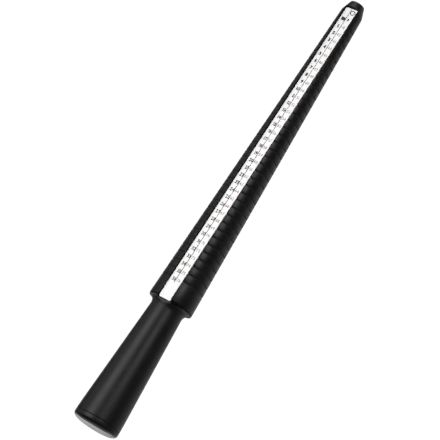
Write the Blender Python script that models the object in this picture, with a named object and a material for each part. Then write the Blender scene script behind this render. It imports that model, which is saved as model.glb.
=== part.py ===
# Ring mandrel: a tapered sizing stick with a flared handle.
# Every piece is modelled along the stick's own axis (local +X runs from the
# butt of the handle toward the tip, local +Z is the side that carries the
# scale) and parented to one empty. The empty tips the stick so that it lies
# on its taper on the plane z = 0, as it does when it is put down.
import math

import bpy
import bmesh
from mathutils import Euler, Vector

MM = 0.001

# ---------------------------------------------------------------- dimensions
SIDES = 28                       # facets of the turned pieces, one faces down
TOTAL_LENGTH = 265.4 * MM
GAP = 0.3 * MM                   # clearance between neighbouring pieces

# taper: ring circumference grows by 1 mm for each size mark
SIZE_FIRST = 41                  # inside circumference in mm at mark 1
SIZE_MARKS = 36
MARK_PITCH = 4.6658 * MM
MARK_ONE = 248.9 * MM            # distance of mark 1 from the butt face
GROOVE_HALF = 0.42 * MM
GROOVE_DEPTH = 0.30 * MM

BARREL_BASE = 74.2 * MM          # butt face to barrel base
BASE_CHAMFER = 0.3 * MM
NOSE_START = 259.06 * MM         # where the nose cone begins
NOSE_RADIUS = 4.2 * MM
NOSE_EDGE = 0.3 * MM

SOCKET_RADIUS = 6.3 * MM
SOCKET_DEPTH = 14.3 * MM
PILOT_RADIUS = 2.25 * MM
PILOT_END = 105.0 * MM

# scale strip and its channel
CHANNEL_HALF = 3.95 * MM
CHANNEL_TIP = 261.5 * MM
CHANNEL_CORNER = 1.3 * MM
CHANNEL_FLOOR_AT_ONE = 2.23 * MM # height above the axis at mark 1
CHANNEL_SLOPE = 0.04107          # floor rise toward the butt
STRIP_HALF = 3.65 * MM
STRIP_THICK = 0.6 * MM
STRIP_TIP = 261.2 * MM
STRIP_BUTT = 73.5 * MM
STRIP_CORNER = 1.0 * MM

# handle
COLLAR_FACE = BARREL_BASE - GAP
COLLAR_RADIUS = 12.3 * MM
COLLAR_RIM = 0.3 * MM            # straight edge before the fillet
NECK_AT = 69.8 * MM
NECK_RADIUS = 9.085 * MM
FLARE_AT = 9.8 * MM
FLARE_RADIUS = 12.35 * MM
HANDLE_END = 4.77 * MM
HANDLE_END_RADIUS = 12.58 * MM
HANDLE_BORE = 9.7 * MM
BORE_TAPER_AT = 26.0 * MM
SCREW_WELL = 6.3 * MM
WELL_TAPER_AT = 58.0 * MM
SCREW_SEAT = 67.0 * MM
SPIGOT_RADIUS = 6.0 * MM
SPIGOT_END = 88.2 * MM
SCREW_HOLE = 2.25 * MM

# end cap
CAP_FACE = 4.47 * MM
PLUG_RADIUS = 9.4 * MM
PLUG_END = 11.0 * MM
PLUG_BORE = 7.6 * MM
PLUG_FLOOR = 2.6 * MM
END_FLAT = 5.5 * MM              # flat centre of the end face
RIM_AT = 3.25 * MM               # where the side turns into the domed end
RIM_RADIUS = 12.56 * MM

# joint screw and washer
SCREW_SIDES = 20
WASHER_OUTER = 4.9 * MM
WASHER_INNER = 2.3 * MM
WASHER_THICK = 0.9 * MM
WASHER_TOP = SCREW_SEAT - GAP
HEAD_FACE = WASHER_TOP - WASHER_THICK - GAP
HEAD_RADIUS = 3.7 * MM
HEAD_HEIGHT = 2.7 * MM
SHANK_RADIUS = 1.95 * MM
SCREW_POINT = 99.0 * MM
SCREW_TIP = 102.0 * MM
RECESS_LENGTH = 4.2 * MM
RECESS_WIDTH = 1.0 * MM
RECESS_DEPTH = 1.6 * MM


def taper_radius(t):
    """Radius of the taper at distance t from the butt face."""
    marks = (MARK_ONE - t) / MARK_PITCH
    return (SIZE_FIRST + marks) * MM / (2.0 * math.pi)


TAPER_ANGLE = math.atan(MM / (2.0 * math.pi) / MARK_PITCH)


def clear_scene():
    for obj in list(bpy.data.objects):
        bpy.data.objects.remove(obj, do_unlink=True)
    for mesh in list(bpy.data.meshes):
        bpy.data.meshes.remove(mesh)


def material(name, colour, roughness, metallic=0.0):
    mat = bpy.data.materials.new(name)
    mat.use_nodes = True
    shader = mat.node_tree.nodes["Principled BSDF"]
    shader.inputs["Base Color"].default_value = (*colour, 1.0)
    shader.inputs["Roughness"].default_value = roughness
    shader.inputs["Metallic"].default_value = metallic
    mat.diffuse_color = (*colour, 1.0)
    return mat


def finish_mesh(name, bm, mat, parent, smooth_angle=None):
    bmesh.ops.recalc_face_normals(bm, faces=bm.faces)
    mesh = bpy.data.meshes.new(name)
    bm.to_mesh(mesh)
    bm.free()
    if smooth_angle is not None:
        for poly in mesh.polygons:
            poly.use_smooth = True
        mesh.set_sharp_from_angle(angle=math.radians(smooth_angle))
    obj = bpy.data.objects.new(name, mesh)
    bpy.context.scene.collection.objects.link(obj)
    obj.parent = parent
    if mat is not None:
        mesh.materials.append(mat)
    return obj


def turned(name, profile, mat, parent, sides=SIDES, closed=False):
    """Spin a profile of (axial, radius) pairs about local X.

    The radii are those of the inscribed circle, so every flat facet touches
    the true round surface and the lowest facet faces straight down.
    """
    half = math.pi / sides
    stretch = 1.0 / math.cos(half)
    bm = bmesh.new()
    verts = []
    for axial, radius in profile:
        reach = radius * stretch
        verts.append(bm.verts.new((axial, reach * math.sin(half), reach * math.cos(half))))
    edges = [bm.edges.new((a, b)) for a, b in zip(verts, verts[1:])]
    if closed:
        edges.append(bm.edges.new((verts[-1], verts[0])))
    bmesh.ops.spin(bm, geom=verts + edges, cent=(0, 0, 0), axis=(1, 0, 0),
                   angle=2.0 * math.pi, steps=sides, use_merge=True)
    bmesh.ops.remove_doubles(bm, verts=bm.verts, dist=1e-7)
    return finish_mesh(name, bm, mat, parent, smooth_angle=40)


def plate(name, size, corner, segments, mat, parent):
    """Flat plate with rounded vertical corners."""
    bm = bmesh.new()
    bmesh.ops.create_cube(bm, size=1.0)
    bmesh.ops.scale(bm, vec=Vector(size), verts=bm.verts)
    upright = [e for e in bm.edges
               if abs(e.verts[0].co.x - e.verts[1].co.x) < 1e-9
               and abs(e.verts[0].co.y - e.verts[1].co.y) < 1e-9]
    bmesh.ops.bevel(bm, geom=upright, offset=corner, segments=segments,
                    profile=0.5, affect='EDGES')
    return finish_mesh(name, bm, mat, parent)


def block(name, size, parent):
    bm = bmesh.new()
    bmesh.ops.create_cube(bm, size=1.0)
    bmesh.ops.scale(bm, vec=Vector(size), verts=bm.verts)
    obj = finish_mesh(name, bm, None, parent)
    as_cutter(obj)
    return obj


def as_cutter(obj):
    obj.hide_render = True
    obj.display_type = 'WIRE'


def cut(obj, cutter):
    mod = obj.modifiers.new("cut_" + cutter.name, 'BOOLEAN')
    mod.operation = 'DIFFERENCE'
    mod.solver = 'EXACT'
    mod.object = cutter


def channel_floor(t):
    return CHANNEL_FLOOR_AT_ONE + (MARK_ONE - t) * CHANNEL_SLOPE


def lay_in_channel(obj, tip, butt, bottom_offset, height):
    """Place a flat body parallel to the channel floor between two stations."""
    angle = math.atan(CHANNEL_SLOPE)
    middle = 0.5 * (tip + butt)
    base = Vector((middle, 0.0, channel_floor(middle)))
    normal = Vector((math.sin(angle), 0.0, math.cos(angle)))
    obj.rotation_euler = Euler((0.0, angle, 0.0))
    obj.location = base + normal * (bottom_offset + 0.5 * height)


def barrel_profile():
    pts = [(PILOT_END, 0.0),
           (PILOT_END - PILOT_RADIUS, PILOT_RADIUS),
           (BARREL_BASE + SOCKET_DEPTH, PILOT_RADIUS),
           (BARREL_BASE + SOCKET_DEPTH, SOCKET_RADIUS),
           (BARREL_BASE, SOCKET_RADIUS),
           (BARREL_BASE, taper_radius(BARREL_BASE) - BASE_CHAMFER),
           (BARREL_BASE + BASE_CHAMFER, taper_radius(BARREL_BASE + BASE_CHAMFER))]
    for k in reversed(range(SIZE_MARKS)):
        centre = MARK_ONE - k * MARK_PITCH
        pts.append((centre - GROOVE_HALF, taper_radius(centre - GROOVE_HALF)))
        pts.append((centre, taper_radius(centre) - GROOVE_DEPTH))
        pts.append((centre + GROOVE_HALF, taper_radius(centre + GROOVE_HALF)))
    pts += [(NOSE_START, taper_radius(NOSE_START)),
            (TOTAL_LENGTH - NOSE_EDGE, NOSE_RADIUS + 0.05 * MM),
            (TOTAL_LENGTH, NOSE_RADIUS - NOSE_EDGE),
            (TOTAL_LENGTH, 0.0)]
    return pts


def handle_profile():
    pts = [(SPIGOT_END, SCREW_HOLE),
           (SPIGOT_END, SPIGOT_RADIUS - 0.5 * MM),
           (SPIGOT_END - 0.5 * MM, SPIGOT_RADIUS),
           (COLLAR_FACE, SPIGOT_RADIUS),
           (COLLAR_FACE, COLLAR_RADIUS),
           (COLLAR_FACE - COLLAR_RIM, COLLAR_RADIUS)]
    # concave fillet from the collar's rim down to the neck
    steps = 6
    for i in range(1, steps + 1):
        a = 0.5 * math.pi * i / steps
        pts.append((COLLAR_FACE - COLLAR_RIM - (COLLAR_FACE - COLLAR_RIM - NECK_AT) * (1.0 - math.cos(a)),
                    COLLAR_RADIUS - (COLLAR_RADIUS - NECK_RADIUS) * math.sin(a)))
    pts += [(FLARE_AT, FLARE_RADIUS),
            (6.6 * MM, 12.53 * MM),
            (HANDLE_END + 0.25 * MM, HANDLE_END_RADIUS),
            (HANDLE_END, HANDLE_END_RADIUS - 0.25 * MM),
            (HANDLE_END, HANDLE_BORE),
            (PLUG_END + 0.6 * MM, HANDLE_BORE),
            (BORE_TAPER_AT, HANDLE_BORE - 1.2 * MM),
            (WELL_TAPER_AT, SCREW_WELL),
            (SCREW_SEAT, SCREW_WELL - 0.3 * MM),
            (SCREW_SEAT, SCREW_HOLE)]
    return pts


def cap_profile():
    pts = [(PLUG_FLOOR, 0.0),
           (PLUG_FLOOR, PLUG_BORE),
           (PLUG_END, PLUG_BORE),
           (PLUG_END, PLUG_RADIUS - 0.4 * MM),
           (PLUG_END - 0.8 * MM, PLUG_RADIUS),
           (CAP_FACE, PLUG_RADIUS),
           (CAP_FACE, 12.34 * MM),
           (CAP_FACE - 0.25 * MM, 12.59 * MM)]
    # domed end: one superelliptic curve from the side to the flat centre
    steps = 9
    for i in range(steps):
        a = 0.5 * math.pi * (1.0 - i / steps)
        pts.append((RIM_AT * (1.0 - max(math.cos(a), 0.0) ** 0.8),
                    END_FLAT + (RIM_RADIUS - END_FLAT) * math.sin(a) ** 0.95))
    pts += [(0.0, END_FLAT),
            (0.0, 0.0)]
    return pts


def screw_profile():
    return [(SCREW_TIP, 0.0),
            (SCREW_POINT, SHANK_RADIUS),
            (HEAD_FACE, SHANK_RADIUS),
            (HEAD_FACE, HEAD_RADIUS),
            (HEAD_FACE - 1.1 * MM, HEAD_RADIUS),
            (HEAD_FACE - 2.1 * MM, HEAD_RADIUS - 0.7 * MM),
            (HEAD_FACE - HEAD_HEIGHT, HEAD_RADIUS - 1.9 * MM),
            (HEAD_FACE - HEAD_HEIGHT, 0.0)]


def washer_profile():
    return [(WASHER_TOP, WASHER_INNER),
            (WASHER_TOP, WASHER_OUTER),
            (WASHER_TOP - WASHER_THICK, WASHER_OUTER),
            (WASHER_TOP - WASHER_THICK, WASHER_INNER)]


def main():
    clear_scene()

    satin_black = material("satin_black_plastic", (0.022, 0.022, 0.023), 0.45)
    gloss_black = material("gloss_black_plastic", (0.018, 0.018, 0.020), 0.30)
    cap_black = material("cap_black_plastic", (0.020, 0.020, 0.021), 0.38)
    white = material("white_scale_plastic", (0.86, 0.86, 0.85), 0.25)
    steel = material("zinc_plated_steel", (0.62, 0.62, 0.60), 0.35, 1.0)
    washer_steel = material("washer_steel", (0.55, 0.55, 0.54), 0.40, 1.0)

    stick = bpy.data.objects.new("mandrel_axis", None)
    bpy.context.scene.collection.objects.link(stick)
    stick.empty_display_size = 0.02

    barrel = turned("barrel", barrel_profile(), satin_black, stick)
    handle = turned("handle", handle_profile(), gloss_black, stick, closed=True)
    turned("end_cap", cap_profile(), cap_black, stick)
    screw = turned("joint_screw", screw_profile(), steel, stick, sides=SCREW_SIDES)
    turned("screw_washer", washer_profile(), washer_steel, stick,
           sides=SCREW_SIDES, closed=True)

    # channel for the scale strip: closed at the nose, open through the collar
    channel_end = COLLAR_FACE - 8.0 * MM
    channel_height = 8.0 * MM
    channel = plate("channel_cutter",
                    ((CHANNEL_TIP - channel_end) / math.cos(math.atan(CHANNEL_SLOPE)),
                     2.0 * CHANNEL_HALF, channel_height),
                    CHANNEL_CORNER, 4, None, stick)
    lay_in_channel(channel, CHANNEL_TIP, channel_end, 0.0, channel_height)
    as_cutter(channel)
    cut(barrel, channel)
    cut(handle, channel)

    strip = plate("scale_strip",
                  ((STRIP_TIP - STRIP_BUTT) / math.cos(math.atan(CHANNEL_SLOPE)),
                   2.0 * STRIP_HALF, STRIP_THICK),
                  STRIP_CORNER, 4, white, stick)
    lay_in_channel(strip, STRIP_TIP, STRIP_BUTT, GAP, STRIP_THICK)

    # cross recess in the screw head
    head_top = HEAD_FACE - HEAD_HEIGHT
    for tag, size in (("a", (2.0 * RECESS_DEPTH, RECESS_LENGTH, RECESS_WIDTH)),
                      ("b", (2.0 * RECESS_DEPTH, RECESS_WIDTH, RECESS_LENGTH))):
        slot = block("recess_cutter_" + tag, size, stick)
        slot.location = (head_top, 0.0, 0.0)
        cut(screw, slot)

    # lie the stick on its taper: nose down by the taper's half angle
    stick.rotation_euler = Euler((0.0, TAPER_ANGLE, 0.0))
    bpy.context.view_layer.update()
    corners = []
    for obj in bpy.context.scene.objects:
        if obj.type == 'MESH' and not obj.hide_render:
            corners += [obj.matrix_world @ v.co for v in obj.data.vertices]
    stick.location = (-0.5 * (min(c.x for c in corners) + max(c.x for c in corners)),
                      -0.5 * (min(c.y for c in corners) + max(c.y for c in corners)),
                      -min(c.z for c in corners))
    bpy.context.view_layer.update()


main()
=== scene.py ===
import math

import bmesh
import bpy
from mathutils import Matrix, Vector


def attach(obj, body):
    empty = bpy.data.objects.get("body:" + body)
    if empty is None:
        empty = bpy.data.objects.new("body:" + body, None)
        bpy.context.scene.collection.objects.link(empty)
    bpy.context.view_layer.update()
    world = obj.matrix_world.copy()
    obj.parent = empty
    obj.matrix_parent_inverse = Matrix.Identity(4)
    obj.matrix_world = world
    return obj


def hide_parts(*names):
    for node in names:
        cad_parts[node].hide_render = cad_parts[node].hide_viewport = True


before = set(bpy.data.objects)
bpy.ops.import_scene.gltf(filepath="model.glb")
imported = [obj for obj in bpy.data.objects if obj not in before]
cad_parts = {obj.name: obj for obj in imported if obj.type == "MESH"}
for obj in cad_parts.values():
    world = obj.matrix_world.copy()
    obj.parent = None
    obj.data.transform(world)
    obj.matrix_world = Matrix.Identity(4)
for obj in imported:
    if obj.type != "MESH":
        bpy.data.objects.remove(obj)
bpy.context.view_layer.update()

MM = 0.001

# ------------------------------------------------------------------ geometry
# The stick's own axis frame: local +X from the butt toward the tip, local +Z
# the side that carries the scale. It dips toward the tip by the taper's half
# angle, so that the taper lies on the floor.
PITCH = 4.6658
MARK_ONE = 248.9
MARKS = 36
TAPER = math.atan(1.0 / (2.0 * math.pi) / PITCH)
LENGTH = 265.4


def taper_radius(t):
    return (41.0 + (MARK_ONE - t) / PITCH) / (2.0 * math.pi)


# lowest and farthest-back point of the domed end, where the box begins
DOME_T = 3.25 * (1.0 - math.cos(math.radians(10.0)) ** 0.8)
DOME_R = 5.5 + 7.06 * math.sin(math.radians(10.0)) ** 0.95
ROOT_X = -0.5 * ((LENGTH * math.cos(TAPER) + 3.9 * math.sin(TAPER)) + (DOME_T * math.cos(TAPER) - DOME_R * math.sin(TAPER)))
ROOT_Z = taper_radius(0.0) * math.cos(TAPER)
AXIS = Matrix.Translation((ROOT_X * MM, 0.0, ROOT_Z * MM)) @ Matrix.Rotation(TAPER, 4, 'Y')

CHANNEL_HALF = 3.95
CHANNEL_TIP = 261.5
FLOOR_AT_ONE = 2.23
SLOPE = 0.04107
STRIP_TOP_ABOVE_FLOOR = 0.9
STRIP_HALF = 3.65
STRIP_TIP = 261.2
STRIP_BUTT = 73.5
BASE = 74.2
ARC = 132                    # points around a turned ring, outside the channel


def channel_floor(t):
    return FLOOR_AT_ONE + (MARK_ONE - t) * SLOPE


def ring(t, r, floor=None, edge=0.12):
    """Points of one cross-section, in order, always the same number.

    The long way round is an arc. The short way, across the scale side, is the
    channel's edges, walls and floor, or the arc again where there is none.
    """
    pts = []
    outer = CHANNEL_HALF + edge
    th = math.asin(min(outer / r, 0.999)) if r > outer else 1.2
    for i in range(ARC + 1):
        a = th + (2.0 * math.pi - 2.0 * th) * i / ARC
        pts.append((r * math.sin(a), r * math.cos(a)))
    across = 30
    w = CHANNEL_HALF

    def arc(y):
        return math.sqrt(max(r * r - y * y, 0.0))

    if floor is None:
        for i in range(1, across):
            a = -th + 2.0 * th * i / across
            pts.append((r * math.sin(a), r * math.cos(a)))
        return [(t, y, z) for y, z in pts]
    # the softened edge fades out where the floor comes up through the surface
    drop = min(edge, max(0.6 * (arc(w) - floor), 0.0))
    rim = arc(w) - drop
    half = [(outer - 0.40 * edge, arc(outer - 0.40 * edge) - 0.12 * drop),
            (w + 0.12 * edge, arc(w + 0.12 * edge) - 0.45 * drop),
            (w, rim)]
    foot = min(floor + 0.12, rim)
    for k in range(1, 4):
        half.append((w, rim + (foot - rim) * k / 3.0))
    half.append((w - 0.04, floor + 0.03))
    half.append((w - 0.14, floor))
    for k in range(1, 7):
        half.append(((w - 0.14) * (1.0 - k / 7.0), floor))
    section = [(-y, min(z, arc(y))) for y, z in half]
    section.append((0.0, min(floor, arc(0.0))))
    section += [(y, min(z, arc(y))) for y, z in reversed(half)]
    assert len(section) == across - 1
    pts += section
    return [(t, y, z) for y, z in pts]


def circle(t, r):
    return ring(t, r, None)


def bridge(name, rings, closed=False, merge=2e-7, sharp=32.0):
    """Join rings of equal length into one closed skin."""
    bm = bmesh.new()
    loops = []
    for pts in rings:
        loops.append([bm.verts.new(AXIS @ Vector((x * MM, y * MM, z * MM))) for x, y, z in pts])
    pairs = list(zip(loops, loops[1:]))
    if closed:
        pairs.append((loops[-1], loops[0]))
    for a, b in pairs:
        n = len(a)
        for i in range(n):
            j = (i + 1) % n
            bm.faces.new((a[i], a[j], b[j], b[i]))
    if not closed:
        bm.faces.new(loops[0])
        bm.faces.new(loops[-1])
    bmesh.ops.remove_doubles(bm, verts=bm.verts, dist=merge)
    bmesh.ops.dissolve_degenerate(bm, edges=bm.edges, dist=1e-8)
    bmesh.ops.recalc_face_normals(bm, faces=bm.faces)
    return to_object(name, bm, sharp)


def to_object(name, bm, sharp=32.0):
    mesh = bpy.data.meshes.new(name)
    bm.to_mesh(mesh)
    bm.free()
    for poly in mesh.polygons:
        poly.use_smooth = True
    mesh.set_sharp_from_angle(angle=math.radians(sharp))
    obj = bpy.data.objects.new(name, mesh)
    bpy.context.scene.collection.objects.link(obj)
    return obj


def arc_points(x0, r0, x1, r1, steps, bulge):
    """Quarter-ellipse from (x0, r0) to (x1, r1), without the first point."""
    pts = []
    for i in range(1, steps + 1):
        a = 0.5 * math.pi * i / steps
        if bulge:
            pts.append((x0 + (x1 - x0) * math.sin(a), r0 + (r1 - r0) * (1.0 - math.cos(a))))
        else:
            pts.append((x0 + (x1 - x0) * (1.0 - math.cos(a)), r0 + (r1 - r0) * math.sin(a)))
    return pts


# ----------------------------------------------------------------- materials
def new_material(name):
    mat = bpy.data.materials.new(name)
    mat.use_nodes = True
    nt = mat.node_tree
    shader = nt.nodes["Principled BSDF"]
    coord = nt.nodes.new("ShaderNodeTexCoord")
    return mat, nt, shader, coord


def noise_node(nt, vector, scale, detail=3.0, rough=0.55, distortion=0.0):
    n = nt.nodes.new("ShaderNodeTexNoise")
    n.inputs["Scale"].default_value = scale
    n.inputs["Detail"].default_value = detail
    n.inputs["Roughness"].default_value = rough
    n.inputs["Distortion"].default_value = distortion
    nt.links.new(vector, n.inputs["Vector"])
    return n.outputs["Fac"]


def remap(nt, value, lo, hi, from_lo=0.3, from_hi=0.7):
    m = nt.nodes.new("ShaderNodeMapRange")
    m.inputs["From Min"].default_value = from_lo
    m.inputs["From Max"].default_value = from_hi
    m.inputs["To Min"].default_value = lo
    m.inputs["To Max"].default_value = hi
    nt.links.new(value, m.inputs["Value"])
    return m.outputs["Result"]


def maths(nt, op, a, b):
    m = nt.nodes.new("ShaderNodeMath")
    m.operation = op
    for i, v in enumerate((a, b)):
        if isinstance(v, (int, float)):
            m.inputs[i].default_value = v
        else:
            nt.links.new(v, m.inputs[i])
    return m.outputs["Value"]


def stretched(nt, coord, scale):
    m = nt.nodes.new("ShaderNodeMapping")
    m.inputs["Rotation"].default_value = (0.0, -TAPER, 0.0)
    m.inputs["Scale"].default_value = scale
    nt.links.new(coord.outputs["Object"], m.inputs["Vector"])
    return m.outputs["Vector"]


def mix_colour(nt, fac, a, b):
    m = nt.nodes.new("ShaderNodeMix")
    m.data_type = 'RGBA'
    nt.links.new(fac, m.inputs["Factor"])
    m.inputs["A"].default_value = (*a, 1.0)
    m.inputs["B"].default_value = (*b, 1.0)
    return m.outputs["Result"]


def bump(nt, shader, height, strength, distance):
    b = nt.nodes.new("ShaderNodeBump")
    b.inputs["Strength"].default_value = strength
    b.inputs["Distance"].default_value = distance
    nt.links.new(height, b.inputs["Height"])
    nt.links.new(b.outputs["Normal"], shader.inputs["Normal"])
    return b


def plastic(name, dark, light, rough_lo, rough_hi, grain, grain_bump, streak=0.0, specular=0.5):
    """Moulded plastic: cloudy tone, uneven gloss, fine grain, faint rub marks."""
    mat, nt, shader, coord = new_material(name)
    obj = coord.outputs["Object"]
    cloud = noise_node(nt, obj, 90.0, 4.0, 0.6, 0.4)
    fine = noise_node(nt, obj, grain, 2.0, 0.6)
    rub = noise_node(nt, stretched(nt, coord, (260.0, 1500.0, 1500.0)), 1.0, 2.0, 0.5)
    tone = maths(nt, 'MULTIPLY', remap(nt, cloud, 0.0, 1.0), 1.0)
    nt.links.new(mix_colour(nt, tone, dark, light), shader.inputs["Base Color"])
    uneven = maths(nt, 'ADD', maths(nt, 'MULTIPLY', cloud, 0.65), maths(nt, 'MULTIPLY', rub, 0.35))
    nt.links.new(remap(nt, uneven, rough_lo, rough_hi, 0.35, 0.65), shader.inputs["Roughness"])
    height = fine
    if streak > 0.0:
        height = maths(nt, 'ADD', fine, maths(nt, 'MULTIPLY', rub, streak))
    bump(nt, shader, height, grain_bump, 0.00004)
    shader.inputs["Specular IOR Level"].default_value = specular
    mat.diffuse_color = (*light, 1.0)
    return mat


def white_plastic(name):
    mat, nt, shader, coord = new_material(name)
    obj = coord.outputs["Object"]
    cloud = noise_node(nt, obj, 60.0, 3.0, 0.55)
    fine = noise_node(nt, obj, 2200.0, 2.0, 0.5)
    nt.links.new(mix_colour(nt, remap(nt, cloud, 0.0, 1.0), (0.86, 0.86, 0.855), (0.91, 0.91, 0.905)),
                 shader.inputs["Base Color"])
    nt.links.new(remap(nt, cloud, 0.22, 0.34), shader.inputs["Roughness"])
    bump(nt, shader, fine, 0.08, 0.00003)
    shader.inputs["Subsurface Weight"].default_value = 0.0
    shader.inputs["Coat Weight"].default_value = 0.15
    shader.inputs["Coat Roughness"].default_value = 0.15
    return mat


def ink(name, a, b, rough=0.45):
    mat, nt, shader, coord = new_material(name)
    wear = noise_node(nt, coord.outputs["Object"], 2600.0, 3.0, 0.6)
    nt.links.new(mix_colour(nt, remap(nt, wear, 0.0, 1.0, 0.35, 0.75), a, b), shader.inputs["Base Color"])
    nt.links.new(remap(nt, wear, rough - 0.08, rough + 0.1), shader.inputs["Roughness"])
    bump(nt, shader, wear, 0.1, 0.00001)
    return mat


def steel(name, colour, rough):
    mat, nt, shader, coord = new_material(name)
    brush = noise_node(nt, stretched(nt, coord, (2400.0, 300.0, 300.0)), 1.0, 3.0, 0.6)
    cloud = noise_node(nt, coord.outputs["Object"], 240.0, 3.0, 0.6)
    dim = tuple(c * 0.8 for c in colour)
    nt.links.new(mix_colour(nt, remap(nt, cloud, 0.0, 1.0), dim, colour), shader.inputs["Base Color"])
    nt.links.new(remap(nt, brush, rough - 0.08, rough + 0.1), shader.inputs["Roughness"])
    shader.inputs["Metallic"].default_value = 1.0
    bump(nt, shader, brush, 0.15, 0.00003)
    return mat


BARREL_MAT = plastic("satin_black_plastic", (0.0030, 0.0030, 0.0032), (0.0050, 0.0050, 0.0053),
                     0.27, 0.38, 1500.0, 0.16, streak=0.5)
HANDLE_MAT = plastic("gloss_black_plastic", (0.0026, 0.0026, 0.0029), (0.0042, 0.0042, 0.0046),
                     0.34, 0.44, 900.0, 0.08, streak=0.3)
CAP_MAT = plastic("cap_black_plastic", (0.0028, 0.0028, 0.0030), (0.0046, 0.0046, 0.0049),
                  0.34, 0.44, 900.0, 0.10, streak=0.3)


def polish_end(mat):
    """The domed end of the cap is glossier than its side."""
    nt = mat.node_tree
    shader = nt.nodes["Principled BSDF"]
    coord = next(n for n in nt.nodes if n.bl_idname == "ShaderNodeTexCoord")
    split = nt.nodes.new("ShaderNodeSeparateXYZ")
    nt.links.new(coord.outputs["Object"], split.inputs["Vector"])
    # distance along the stick's axis, in mm from the butt plane
    along = maths(nt, 'ADD',
                  maths(nt, 'MULTIPLY', maths(nt, 'ADD', split.outputs["X"], -ROOT_X * MM), 1000.0 * math.cos(TAPER)),
                  maths(nt, 'MULTIPLY', maths(nt, 'ADD', split.outputs["Z"], -ROOT_Z * MM), -1000.0 * math.sin(TAPER)))
    side = remap(nt, along, 0.36, 1.0, 0.9, 2.2)
    rough = shader.inputs["Roughness"].links[0].from_socket
    nt.links.new(maths(nt, 'MULTIPLY', rough, side), shader.inputs["Roughness"])


polish_end(CAP_MAT)
CHANNEL_MAT = plastic("channel_black_plastic", (0.0028, 0.0028, 0.0030), (0.0042, 0.0042, 0.0045),
                      0.62, 0.78, 1500.0, 0.35, streak=0.8, specular=0.22)
GROOVE_MAT = plastic("groove_black_plastic", (0.0056, 0.0056, 0.0058), (0.0084, 0.0084, 0.0087),
                     0.47, 0.60, 1500.0, 0.30, streak=0.6, specular=0.36)
STRIP_MAT = white_plastic("white_scale_plastic")
INK_BLACK = ink("black_print", (0.012, 0.012, 0.013), (0.03, 0.03, 0.03))
INK_GREY = ink("grey_print", (0.018, 0.018, 0.019), (0.045, 0.045, 0.045))
INK_RED = ink("red_print", (0.30, 0.155, 0.172), (0.38, 0.235, 0.252))
SCREW_MAT = steel("zinc_plated_steel", (0.62, 0.62, 0.60), 0.32)
WASHER_MAT = steel("washer_steel", (0.55, 0.55, 0.54), 0.38)


def line_channel(obj):
    """The walls and floor of the scale's channel are duller than the outside."""
    back = AXIS.inverted()
    obj.data.materials.append(CHANNEL_MAT)
    for poly in obj.data.polygons:
        p = (back @ poly.center) / MM
        if abs(p.y) < CHANNEL_HALF + 0.004 and p.z > 1.5 and CHANNEL_TIP - 0.01 > p.x > 69.9 \
                and p.y * p.y + p.z * p.z < (taper_radius(p.x) - 0.10) ** 2 and p.z < channel_floor(p.x) + 9.0:
            if p.z > channel_floor(p.x) - 0.05:
                poly.material_index = 1


def line_grooves(obj):
    """The size grooves were cut by a tool and are duller than the skin around them."""
    back = AXIS.inverted()
    obj.data.materials.append(GROOVE_MAT)
    for poly in obj.data.polygons:
        if poly.material_index:
            continue
        p = (back @ poly.center) / MM
        near = abs((MARK_ONE - p.x) / PITCH - round((MARK_ONE - p.x) / PITCH)) * PITCH
        if near < 0.45 and -0.5 < (MARK_ONE - p.x) / PITCH < MARKS - 0.5:
            r = math.hypot(p.y, p.z)
            if taper_radius(p.x) - 0.40 < r < taper_radius(p.x) - 0.035:
                poly.material_index = 2


def wear(obj, mat, slot=None):
    obj.data.materials.clear()
    obj.data.materials.append(mat)
    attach(obj, "root")


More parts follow.
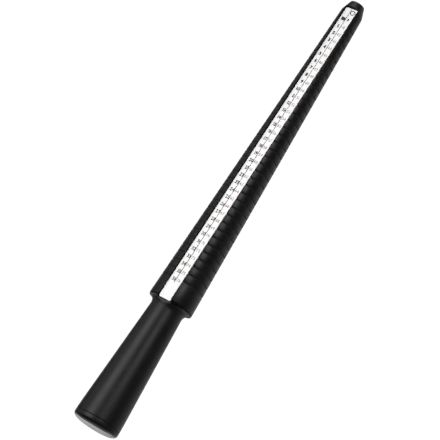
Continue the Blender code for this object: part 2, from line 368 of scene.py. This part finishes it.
# -------------------------------------------------------------------- barrel
def build_barrel():
    rings = []

    def add(t, r, open_channel=True):
        rings.append(ring(t, r, channel_floor(t)) if open_channel else circle(t, r))

    # socket for the handle's spigot, then the screw's pilot hole
    rings.append(circle(105.0, 0.02))
    rings.append(circle(102.8, 2.2))
    rings.append(circle(97.0, 2.25))
    rings.append(circle(BASE + 14.3, 2.25))
    rings.append(circle(BASE + 14.3, 6.3))
    rings.append(circle(BASE + 0.5, 6.3))
    rings.append(circle(BASE, 6.7))
    # base face, lip and taper
    r_base = taper_radius(BASE)
    add(BASE, r_base - 0.30)
    for dt, dr in ((0.02, 0.20), (0.08, 0.10), (0.17, 0.035), (0.30, 0.0)):
        add(BASE + dt, taper_radius(BASE + dt) - dr)
    groove = ((-0.52, 0.0), (-0.46, 0.015), (-0.39, 0.06), (-0.28, 0.16), (-0.15, 0.265),
              (0.0, 0.30), (0.15, 0.265), (0.28, 0.16), (0.39, 0.06), (0.46, 0.015), (0.52, 0.0))
    for k in reversed(range(MARKS)):
        centre = MARK_ONE - k * PITCH
        for dt, depth in groove:
            add(centre + dt, taper_radius(centre + dt) - depth)
        if k:
            add(centre + 0.5 * PITCH, taper_radius(centre + 0.5 * PITCH))
    for t in (250.8, 253.2, 255.8, 258.0):
        add(t, taper_radius(t))
    # nose cone with a softened shoulder and rim
    n0, n1 = 259.06, 265.08
    r0, r1 = taper_radius(n0), 4.25

    def nose(t):
        return r0 + (r1 - r0) * (t - n0) / (n1 - n0)

    add(n0 - 0.28, taper_radius(n0 - 0.28) - 0.012)
    add(n0 - 0.08, r0 - 0.035)
    add(n0 + 0.14, nose(n0 + 0.14) - 0.012)
    for t, lift in ((259.7, 0.0), (260.4, 0.0), (CHANNEL_TIP - 0.35, 0.0), (CHANNEL_TIP - 0.14, 0.05),
                    (CHANNEL_TIP - 0.04, 0.18)):
        rings.append(ring(t, nose(t), channel_floor(t) + lift))
    rings.append(circle(CHANNEL_TIP, nose(CHANNEL_TIP)))
    for t in (262.4, 263.4, 264.4):
        rings.append(circle(t, nose(t)))
    for x, q in ((264.90, 4.30), (265.12, 4.20), (265.27, 4.07), (265.37, 3.91), (265.40, 3.75), (265.40, 1.8)):
        rings.append(circle(x, q))
    rings.append(circle(265.40, 0.02))
    obj = bridge("barrel_shell", rings, sharp=30.0)
    wear(obj, BARREL_MAT, "barrel_plastic")
    line_channel(obj)
    line_grooves(obj)
    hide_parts("barrel")
    return obj


# -------------------------------------------------------------------- handle
def build_handle():
    face, neck_t = BASE - 0.3, 69.8
    rings = []

    def add(t, r):
        # the channel ends in the shoulder; from the neck on the outside is round
        rings.append(ring(t, r, channel_floor(t) if t > neck_t - 0.01 else 99.0, edge=0.10))

    rings.append(circle(88.2, 2.25))
    rings.append(circle(88.2, 5.5))
    rings.append(circle(88.05, 5.78))
    rings.append(circle(87.7, 6.0))
    rings.append(circle(face, 6.0))
    add(face, 12.10)
    add(face - 0.05, 12.22)
    add(face - 0.12, 12.27)
    add(face - 0.24, 12.25)
    add(face - 0.32, 12.12)
    for x, r in arc_points(face - 0.35, 11.98, neck_t, 9.085, 26, False):
        add(x, r)
    for i in range(1, 21):
        x = neck_t + (9.8 - neck_t) * i / 20.0
        add(x, 9.085 + (neck_t - x) * (12.35 - 9.085) / (neck_t - 9.8))
    for x, r in ((8.0, 12.405), (7.0, 12.45), (6.2, 12.485), (5.45, 12.52), (4.98, 12.53), (4.80, 12.51), (4.71, 12.46), (4.67, 12.34)):
        add(x, r)
    for x, r in ((4.67, 11.2), (4.67, 9.9), (4.85, 9.75), (5.27, 9.7), (11.6, 9.7), (26.0, 8.5), (58.0, 6.3),
                 (67.0, 6.0), (67.0, 2.25), (80.0, 2.25)):
        rings.append(circle(x, r))
    obj = bridge("handle_grip", rings, closed=True, sharp=34.0)
    wear(obj, HANDLE_MAT, "handle_plastic")
    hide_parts("handle")
    return obj


# ------------------------------------------------------------------- end cap
def build_cap():
    rings = [circle(2.6, 0.02), circle(2.6, 7.2), circle(2.75, 7.5), circle(3.2, 7.6), circle(10.6, 7.6),
             circle(11.0, 7.9), circle(11.0, 9.0), circle(10.75, 9.2), circle(10.2, 9.4), circle(4.55, 9.4),
             circle(4.55, 11.4), circle(4.55, 12.36), circle(4.50, 12.48), circle(4.40, 12.535), circle(4.2, 12.555),
             circle(3.6, 12.555)]
    # domed end: one smooth curve from the side to the flat centre
    steps = 30
    for i in range(steps):
        a = 0.5 * math.pi * (1.0 - i / steps)
        rings.append(circle(3.25 * (1.0 - max(math.cos(a), 0.0) ** 0.8) + 0.010, 5.5 + 7.05 * math.sin(a) ** 0.95))
    rings.append(circle(0.010, 5.4))
    rings.append(circle(0.010, 0.02))
    obj = bridge("end_cap_shell", rings, sharp=40.0)
    wear(obj, CAP_MAT, "cap_plastic")
    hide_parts("end_cap")
    return obj


# --------------------------------------------------------------- scale strip
ALPHA = math.atan(SLOPE)


def strip_matrix():
    """Frame on the strip's top face: x to the reader's right, y toward the tip."""
    mid = 0.5 * (STRIP_TIP + STRIP_BUTT)
    nz = Vector((math.sin(ALPHA), 0.0, math.cos(ALPHA)))
    uy = Vector((math.cos(ALPHA), 0.0, -math.sin(ALPHA)))
    ux = Vector((0.0, -1.0, 0.0))
    at = Vector((mid, 0.0, channel_floor(mid))) + nz * STRIP_TOP_ABOVE_FLOOR
    m = Matrix((
        (ux.x, uy.x, nz.x, at.x),
        (ux.y, uy.y, nz.y, at.y),
        (ux.z, uy.z, nz.z, at.z),
        (0.0, 0.0, 0.0, 1.0)))
    return AXIS @ Matrix.Scale(MM, 4) @ m


STRIP = strip_matrix()
STRIP_MID = 0.5 * (STRIP_TIP + STRIP_BUTT)


def on_strip(t, y):
    """Strip coordinates of station t (mm from the butt) and side y (mm, + is the reader's left)."""
    return (-y, (t - STRIP_MID) / math.cos(ALPHA))


def rounded_outline(half_w, lo, hi, r_lo, r_hi, steps=7):
    pts = []
    for cx, cy, r, start in ((half_w, hi, r_hi, 0.0), (-half_w, hi, r_hi, 90.0),
                             (-half_w, lo, r_lo, 180.0), (half_w, lo, r_lo, 270.0)):
        ox = cx - math.copysign(r, cx)
        oy = cy - r if cy == hi else cy + r
        for i in range(steps + 1):
            a = math.radians(start + 90.0 * i / steps)
            pts.append((ox + r * math.cos(a), oy + r * math.sin(a)))
    return pts


def build_strip():
    lo = on_strip(STRIP_BUTT, 0.0)[1]
    hi = on_strip(STRIP_TIP, 0.0)[1]
    bm = bmesh.new()
    layers = []
    for inset, z in ((0.0, -0.6), (0.0, -0.10), (0.03, -0.03), (0.10, 0.0)):
        outline = rounded_outline(STRIP_HALF - inset, lo + inset, hi - inset, 1.0 - inset, 1.0 - inset)
        layers.append([bm.verts.new(STRIP @ Vector((x, y, z))) for x, y in outline])
    for a, b in zip(layers, layers[1:]):
        n = len(a)
        for i in range(n):
            bm.faces.new((a[i], a[(i + 1) % n], b[(i + 1) % n], b[i]))
    bm.faces.new(layers[0])
    bm.faces.new(layers[-1])
    bmesh.ops.recalc_face_normals(bm, faces=bm.faces)
    obj = to_object("scale_strip_plate", bm, 30.0)
    wear(obj, STRIP_MAT, "strip_plastic")
    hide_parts("scale_strip")
    return obj


INK_LO, INK_HI = -0.004, 0.016


def bar(bm, x0, x1, y0, y1, lo=INK_LO, hi=INK_HI):
    quad = [(x0, y0), (x1, y0), (x1, y1), (x0, y1)]
    slab(bm, quad, lo, hi)


def slab(bm, outline, lo=INK_LO, hi=INK_HI):
    a = [bm.verts.new(STRIP @ Vector((x, y, lo))) for x, y in outline]
    b = [bm.verts.new(STRIP @ Vector((x, y, hi))) for x, y in outline]
    n = len(a)
    for i in range(n):
        bm.faces.new((a[i], a[(i + 1) % n], b[(i + 1) % n], b[i]))
    bm.faces.new(list(reversed(a)))
    bm.faces.new(b)


def digit_meshes(weight, extrude):
    """Flat mesh of each digit, from Blender's own font, one unit tall."""
    out = {}
    for ch in "012345678":
        curve = bpy.data.curves.new("digit", 'FONT')
        curve.body = ch
        curve.size = 1.0
        curve.offset = weight
        curve.extrude = 0.5
        curve.resolution_u = 3
        obj = bpy.data.objects.new("digit", curve)
        bpy.context.scene.collection.objects.link(obj)
        bpy.context.view_layer.update()
        mesh = bpy.data.meshes.new_from_object(obj.evaluated_get(bpy.context.evaluated_depsgraph_get()))
        bpy.data.objects.remove(obj, do_unlink=True)
        bpy.data.curves.remove(curve)
        xs = [v.co.x for v in mesh.vertices]
        ys = [v.co.y for v in mesh.vertices]
        k = 1.0 / (max(ys) - min(ys))
        out[ch] = (mesh, k, 0.5 * (min(xs) + max(xs)), min(ys), (max(xs) - min(xs)) * k)
    out["9"] = out["6"]
    return out


def put_number(bm, text, digits, cx, cy, height, squeeze, gap, spread=0.0):
    """Print a number. A spread lays two copies side by side, for a bolder stroke."""
    if spread > 0.0:
        put_number(bm, text, digits, cx - spread, cy, height, squeeze, gap)
        lift = 0.0006
        cx += spread
    else:
        lift = 0.0
    widths = [digits[c][4] * height * squeeze for c in text]
    total = sum(widths) + gap * (len(text) - 1)
    x = cx - 0.5 * total
    for c, w in zip(text, widths):
        mesh, k, mid, low, _ = digits[c]
        s = k * height
        turn = -1.0 if c == "9" else 1.0     # the 9 is a turned 6
        verts = [bm.verts.new(STRIP @ Vector((
            x + 0.5 * w + turn * (v.co.x - mid) * s * squeeze,
            cy + turn * ((v.co.y - low) * s - 0.5 * height),
            INK_LO + (INK_HI - INK_LO) * (v.co.z + 0.5) + lift))) for v in mesh.vertices]
        for p in mesh.polygons:
            if len(set(p.vertices)) >= 3:
                bm.faces.new([verts[i] for i in p.vertices])
        x += w + gap


def number_station(k):
    """Distance from the butt of the k-th row of numbers, mm."""
    return MARK_ONE - (-0.14 + (k - 1) * 4.6877)


def build_print():
    bold = digit_meshes(0.055, 0.5)
    light = digit_meshes(0.036, 0.5)
    thin = digit_meshes(0.0, 0.5)
    left = bmesh.new()
    right = bmesh.new()
    for k in range(1, MARKS + 1):
        t = number_station(k)
        x, y = on_strip(t, 1.80 if k < 10 else 1.46)
        put_number(left, str(k), bold if k < 25 else light, x, y, 2.10, 0.84 if k < 10 else 0.76,
                   0.16, 0.08 if k < 10 else 0.0)
        x, y = on_strip(t, -1.30)
        put_number(right, str(40 + k), thin, x, y, 1.72, 0.84, 0.24, 0.05)
    for bm, name, mat in ((left, "scale_numbers_sizes", INK_BLACK), (right, "scale_numbers_circumference", INK_RED)):
        bmesh.ops.remove_doubles(bm, verts=bm.verts, dist=1e-8)
        bmesh.ops.recalc_face_normals(bm, faces=bm.faces)
        obj = to_object(name, bm, 30.0)
        wear(obj, mat)

    # centre line and the short tick at each row
    bm = bmesh.new()
    lx = on_strip(0.0, 0.32)[0]
    top = on_strip(STRIP_TIP - 0.15, 0.0)[1]
    low = on_strip(number_station(MARKS) - 1.9, 0.0)[1]
    bar(bm, lx - 0.17, lx + 0.17, low, top)
    obj = to_object("scale_centre_line", bm, 30.0)
    wear(obj, INK_GREY)
    bm = bmesh.new()
    for k in range(1, MARKS + 1):
        y = on_strip(number_station(k), 0.0)[1]
        bar(bm, lx - 0.42, lx - 0.10, y - 0.07, y + 0.07)
        bar(bm, lx + 0.10, lx + 0.75, y - 0.05, y + 0.05)
    obj = to_object("scale_ticks", bm, 30.0)
    wear(obj, INK_GREY)

    # plain heads of the two columns: a block, a dash and a ring, no lettering
    bm = bmesh.new()
    x, y = on_strip(MARK_ONE + 5.1, 1.72)
    slab(bm, [(x - 1.05, y - 1.0), (x + 1.22, y - 1.0), (x + 1.22, y + 1.0), (x - 1.05, y + 1.0)])
    x, y = on_strip(MARK_ONE + 5.3, -1.20)
    slab(bm, [(x - 0.42, y - 0.82), (x + 0.42, y - 0.82), (x + 0.42, y + 0.82), (x - 0.42, y + 0.82)])
    x, y = on_strip(MARK_ONE + 9.95, -1.32)
    steps = 40
    r_out, r_in = 1.40, 0.98
    loops = []
    for r, z in ((r_out, INK_LO), (r_out, INK_HI), (r_in, INK_HI), (r_in, INK_LO)):
        loops.append([bm.verts.new(STRIP @ Vector((x + r * math.cos(2 * math.pi * i / steps),
                                                   y + r * math.sin(2 * math.pi * i / steps), z)))
                      for i in range(steps)])
    for a, b in zip(loops, loops[1:] + loops[:1]):
        for i in range(steps):
            bm.faces.new((a[i], a[(i + 1) % steps], b[(i + 1) % steps], b[i]))
    bmesh.ops.recalc_face_normals(bm, faces=bm.faces)
    obj = to_object("scale_heads", bm, 30.0)
    wear(obj, INK_BLACK)


# ------------------------------------------------------ joint screw, washer
HEAD_FACE = 65.5
HEAD_TOP = 62.8


def disc(t, radius, n=48):
    """Full circle; radius may be a function of the angle."""
    pts = []
    for i in range(n):
        a = 2.0 * math.pi * i / n
        r = radius(a) if callable(radius) else radius
        pts.append((t, r * math.sin(a), r * math.cos(a)))
    return pts


def thread(t, minor, major, pitch=1.5):
    def radius(a):
        f = (t / pitch - a / (2.0 * math.pi)) % 1.0
        crest = max(0.0, 1.0 - abs(f - 0.5) / 0.34)
        return minor + (major - minor) * min(1.0, 1.18 * crest)
    return radius


def build_screw():
    rings = [disc(HEAD_TOP, 0.02)]
    for x, r in ((62.81, 1.0), (62.84, 1.75), (62.92, 2.2), (63.05, 2.6), (63.26, 2.95), (63.54, 3.24), (63.86, 3.45),
                 (64.2, 3.58), (64.6, 3.65), (65.2, 3.66), (65.4, 3.62), (65.49, 3.5), (HEAD_FACE, 3.3),
                 (HEAD_FACE, 2.05), (65.62, 1.86), (65.85, 1.78), (77.2, 1.78)):
        rings.append(disc(x, r))
    steps = 132
    for i in range(steps + 1):
        x = 77.5 + (98.6 - 77.5) * i / steps
        grow = min(1.0, (x - 77.5) / 1.8)
        rings.append(disc(x, thread(x, 1.78 + (1.42 - 1.78) * grow, 1.80 + (1.93 - 1.80) * grow)))
    for i in range(1, 21):
        x = 98.6 + (101.85 - 98.6) * i / 20.0
        k = 1.0 - 0.95 * (i / 20.0) ** 1.2
        rings.append(disc(x, thread(x, 1.42 * k, 1.93 * k)))
    rings.append(disc(101.95, 0.02))
    screw = bridge("joint_screw_body", rings, sharp=38.0)
    # cross recess in the head, narrowing toward its floor
    for tag, half_y, half_z in (("a", 2.05, 0.46), ("b", 0.46, 2.05)):
        bm = bmesh.new()
        loops = []
        for x, k in ((62.3, 1.0), (64.35, 0.62)):
            loops.append([bm.verts.new(AXIS @ Vector((x * MM, sy * max(half_y * k, 0.3) * MM, sz * max(half_z * k, 0.3) * MM)))
                          for sy, sz in ((-1, -1), (1, -1), (1, 1), (-1, 1))])
        for i in range(4):
            bm.faces.new((loops[0][i], loops[0][(i + 1) % 4], loops[1][(i + 1) % 4], loops[1][i]))
        bm.faces.new(loops[0])
        bm.faces.new(loops[1])
        bmesh.ops.recalc_face_normals(bm, faces=bm.faces)
        cutter = to_object("recess_" + tag, bm)
        mod = screw.modifiers.new("recess", 'BOOLEAN')
        mod.operation = 'DIFFERENCE'
        mod.solver = 'EXACT'
        mod.object = cutter
        bpy.context.view_layer.update()
        mesh = bpy.data.meshes.new_from_object(screw.evaluated_get(bpy.context.evaluated_depsgraph_get()))
        screw.modifiers.clear()
        screw.data = mesh
        bpy.data.objects.remove(cutter, do_unlink=True)
    for poly in screw.data.polygons:
        poly.use_smooth = True
    screw.data.set_sharp_from_angle(angle=math.radians(38.0))
    wear(screw, SCREW_MAT, "screw_steel")
    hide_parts("joint_screw")

    rings = []
    for x, r in ((66.7, 2.45), (66.7, 4.7), (66.66, 4.82), (66.56, 4.89), (66.4, 4.895), (66.05, 4.895), (65.9, 4.87),
                 (65.83, 4.80), (65.80, 4.68), (65.80, 2.45), (65.84, 2.36), (65.95, 2.31), (66.25, 2.305),
                 (66.55, 2.31), (66.66, 2.36)):
        rings.append(disc(x, r, 72))
    washer = bridge("screw_washer_ring", rings, closed=True, sharp=35.0)
    wear(washer, WASHER_MAT, "washer_steel")
    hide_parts("screw_washer")


# ------------------------------------------------------ floor, light, camera
def build_stage():
    bm = bmesh.new()
    bmesh.ops.create_grid(bm, x_segments=2, y_segments=2, size=6.0)
    floor = to_object("studio_floor", bm)
    floor.location = (0.0, 0.0, -0.0004)
    mat = bpy.data.materials.new("studio_floor")
    mat.use_nodes = True
    nt = mat.node_tree
    nt.nodes.clear()
    out = nt.nodes.new("ShaderNodeOutputMaterial")
    mix = nt.nodes.new("ShaderNodeMixShader")
    path = nt.nodes.new("ShaderNodeLightPath")
    diffuse = nt.nodes.new("ShaderNodeBsdfDiffuse")
    glow = nt.nodes.new("ShaderNodeEmission")
    # painted light: for reflected and bounced rays the floor's colour is a painted pool of light,
    # bright beside the stick and falling away to a dim room, with a painted bright patch beyond the butt
    coord = nt.nodes.new("ShaderNodeTexCoord")
    split = nt.nodes.new("ShaderNodeSeparateXYZ")
    nt.links.new(coord.outputs["Object"], split.inputs["Vector"])
    side = maths(nt, 'ABSOLUTE', split.outputs["Y"], 0.0)
    # painted light: the floor colour is raised to 0.50 beside the stick, a painted pool of light
    near = remap(nt, side, 0.50, 0.12, 0.012, 0.065)
    # painted light: a brighter floor colour beyond the butt, seen mirrored in the domed end
    along = maths(nt, 'POWER', maths(nt, 'MULTIPLY', maths(nt, 'ADD', split.outputs["X"], 0.140), 55.0), 2.0)
    across = maths(nt, 'POWER', maths(nt, 'MULTIPLY', maths(nt, 'ADD', split.outputs["Y"], -0.006), 55.0), 2.0)
    painted_light_patch = maths(nt, 'POWER', 2.718, maths(nt, 'MULTIPLY', maths(nt, 'ADD', along, across), -1.0))
    painted_floor_light = maths(nt, 'ADD', near, maths(nt, 'MULTIPLY', painted_light_patch, 0.25))
    tint = nt.nodes.new("ShaderNodeCombineColor")
    for i in range(3):
        nt.links.new(painted_floor_light, tint.inputs[i])
    nt.links.new(tint.outputs["Color"], diffuse.inputs["Color"])
    glow.inputs["Color"].default_value = (1.0, 1.0, 1.0, 1.0)
    glow.inputs["Strength"].default_value = 1.05
    nt.links.new(path.outputs["Is Camera Ray"], mix.inputs["Fac"])
    nt.links.new(diffuse.outputs["BSDF"], mix.inputs[1])
    nt.links.new(glow.outputs["Emission"], mix.inputs[2])
    nt.links.new(mix.outputs["Shader"], out.inputs["Surface"])
    floor.data.materials.append(mat)

    world = bpy.data.worlds.new("studio")
    bpy.context.scene.world = world
    world.use_nodes = True
    back = world.node_tree.nodes["Background"]
    back.inputs["Color"].default_value = (1.0, 1.0, 1.0, 1.0)
    # white where the camera looks past the floor, a dim room for the rest
    wt = world.node_tree
    seen = wt.nodes.new("ShaderNodeLightPath")
    wt.links.new(maths(wt, 'ADD', maths(wt, 'MULTIPLY', seen.outputs["Is Camera Ray"], 1.0), 0.05), back.inputs["Strength"])


def softbox(name, direction, distance, size_x, size_y, radiance, target=(0.0, 0.0, 0.012), glossy=True, diffuse=True):
    """Rectangular lamp that faces the target. size_x runs along the stick."""
    d = Vector(direction).normalized()
    lamp = bpy.data.lights.new(name, 'AREA')
    lamp.shape = 'RECTANGLE'
    lamp.size = size_x
    lamp.size_y = size_y
    lamp.energy = radiance * math.pi * size_x * size_y
    obj = bpy.data.objects.new(name, lamp)
    bpy.context.scene.collection.objects.link(obj)
    at = Vector(target) + d * distance
    z = d
    x = Vector((1.0, 0.0, 0.0))
    x = (x - z * x.dot(z)).normalized()
    y = z.cross(x)
    obj.matrix_world = Matrix((
        (x.x, y.x, z.x, at.x),
        (x.y, y.y, z.y, at.y),
        (x.z, y.z, z.z, at.z),
        (0.0, 0.0, 0.0, 1.0)))
    obj.visible_camera = False
    obj.visible_glossy = glossy
    obj.visible_diffuse = diffuse
    return obj


def build_lights():
    # two long boxes that draw the soft streaks
    # (each is a nest of three sizes, so that the edges fade)
    for i, (width, radiance) in enumerate(((0.34, 0.80), (0.54, 0.82), (0.74, 0.64))):
        softbox("strip_box_left_%d" % i, (0.17, 0.46, 0.865), 0.9 + 0.01 * i, 1.2, width, radiance, diffuse=False)
    for i, (width, radiance) in enumerate(((0.22, 0.86), (0.36, 0.92), (0.54, 0.65))):
        softbox("strip_box_right_%d" % i, (0.50, -0.56, 0.81), 0.9 + 0.01 * i, 0.67, width, radiance, diffuse=False)
    # a short one between them, over the butt
    softbox("strip_box_mid", (0.02, 0.14, 0.88), 0.9, 0.16, 0.26, 0.55, diffuse=False)
    # low wall on the far side, seen in the left flank, and a box before the tip
    softbox("side_card", (0.10, 0.96, 0.26), 0.9, 1.4, 0.50, 0.38, diffuse=False)
    softbox("tip_box", (0.84, 0.26, 0.48), 0.7, 0.5, 0.5, 1.1, target=(0.12, 0.0, 0.008), diffuse=False)
    # two small cards on the floor beyond the butt, mirrored in the domed end
    softbox("butt_card_near", (0.0, 0.0, -1.0), 0.0115, 0.008, 0.044, 0.32, target=(-0.1370, 0.008, 0.012), diffuse=False)
    softbox("butt_card_far", (0.0, 0.0, -1.0), 0.0115, 0.010, 0.050, 1.0, target=(-0.1460, 0.010, 0.012), diffuse=False)
    # broad overhead fill for the white scale, with no mirror image of its own
    softbox("fill_box", (0.08, -0.32, 0.94), 1.2, 0.6, 0.6, 14.6, glossy=False)


def build_camera():
    cam = bpy.data.cameras.new("photo_camera")
    cam.sensor_fit = 'HORIZONTAL'
    cam.sensor_width = 36.0
    cam.lens = 1796.6 / 440.0 * 36.0
    cam.clip_start = 0.05
    cam.clip_end = 20.0
    obj = bpy.data.objects.new("photo_camera", cam)
    bpy.context.scene.collection.objects.link(obj)
    right = Vector((0.50745237, -0.82156627, -0.25984795))
    up = Vector((0.83791955, 0.40016014, 0.37116396))
    back = Vector((-0.20095500, -0.40607971, 0.89146865))
    at = Vector((-0.19359365, -0.37528452, 0.83813138))
    obj.matrix_world = Matrix((
        (right.x, up.x, back.x, at.x),
        (right.y, up.y, back.y, at.y),
        (right.z, up.z, back.z, at.z),
        (0.0, 0.0, 0.0, 1.0)))
    bpy.context.scene.camera = obj


bpy.context.scene.view_settings.view_transform = 'Standard'
bpy.context.scene.view_settings.look = 'None'

build_camera()
build_stage()
build_lights()
build_barrel()
build_handle()
build_cap()
build_strip()
build_print()
build_screw()
